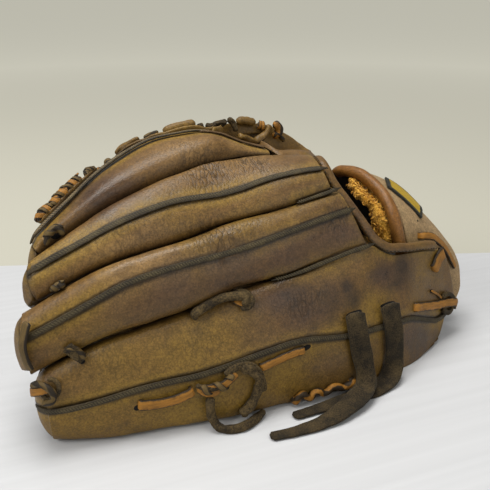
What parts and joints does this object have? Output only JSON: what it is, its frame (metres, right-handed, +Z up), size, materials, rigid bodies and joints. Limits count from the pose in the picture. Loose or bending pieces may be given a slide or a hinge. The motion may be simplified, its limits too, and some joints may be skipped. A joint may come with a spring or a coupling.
{
  "type": "baseball infield glove",
  "caption": "Left-hand leather fielding glove with separate finger stalls, a closed web, a deep pocket and a wrist strap, lying palm down",
  "frame": {"origin": "middle of the glove's foot on the table", "axes": "+X from the fingertips to the wrist, +Y from the little finger to the thumb, +Z up"},
  "size_m": [0.311, 0.2007, 0.1568],
  "materials": {
    "leather": "worn brown leather",
    "palm_leather": "worn olive-gold leather",
    "welt": "ribbed dark piping",
    "lace": "orange-tan rawhide",
    "dark_lace": "dark rawhide",
    "suede": "dark brown suede",
    "fleece": "golden curly pile",
    "patch": "yellow woven patch with a dark border"
  },
  "bodies": {
    "root": {"ring_back": "leather", "middle_back": "leather", "index_back": "leather", "pinky_back": "leather", "pinky_side": "palm_leather", "thumb_back": "leather", "palm": "palm_leather", "web": "palm_leather", "wrist_strap": "leather", "strap_roll": "leather", "strap_fleece": "fleece", "strap_patch": "patch", "pinky_welt": "welt", "ring_welt": "welt", "middle_welt": "welt", "index_welt": "welt", "thumb_welt": "welt", "middle_ring_welt": "welt", "ring_pinky_welt": "welt", "opening_binding": "leather", "ring_pinky_lace": "dark_lace", "hole_lace": "lace", "palm_knot_wrap": "lace", "palm_knot_tail": "dark_lace", "palm_knot_loop": "dark_lace", "long_lace": "lace", "edge_lace": "lace", "pinky_tip_lace": "dark_lace", "ring_pinky_knot": "dark_lace", "middle_ring_knot": "dark_lace", "index_middle_knot": "dark_lace", "ring_tip_lace": "dark_lace", "strap_lace": "lace", "heel_corner_lace": "lace", "heel_lace": "lace", "web_tip_lace": "dark_lace", "web_flange_lace": "lace", "web_twist_lace": "dark_lace", "web_cross_lace": "lace", "web_knot": "dark_lace", "web_edge_lace": "lace", "web_thong": "dark_lace", "web_roll_front": "palm_leather", "web_loop": "dark_lace", "web_dark_lace": "dark_lace", "web_ring": "dark_lace", "web_roll_back": "palm_leather", "web_tab": "palm_leather", "web_end_knot": "dark_lace", "web_end_lace": "lace", "web_end_loop": "lace", "web_end_tail": "dark_lace", "pinky_strap_front": "suede", "pinky_strap_rear": "suede"}
  },
  "joints": []
}
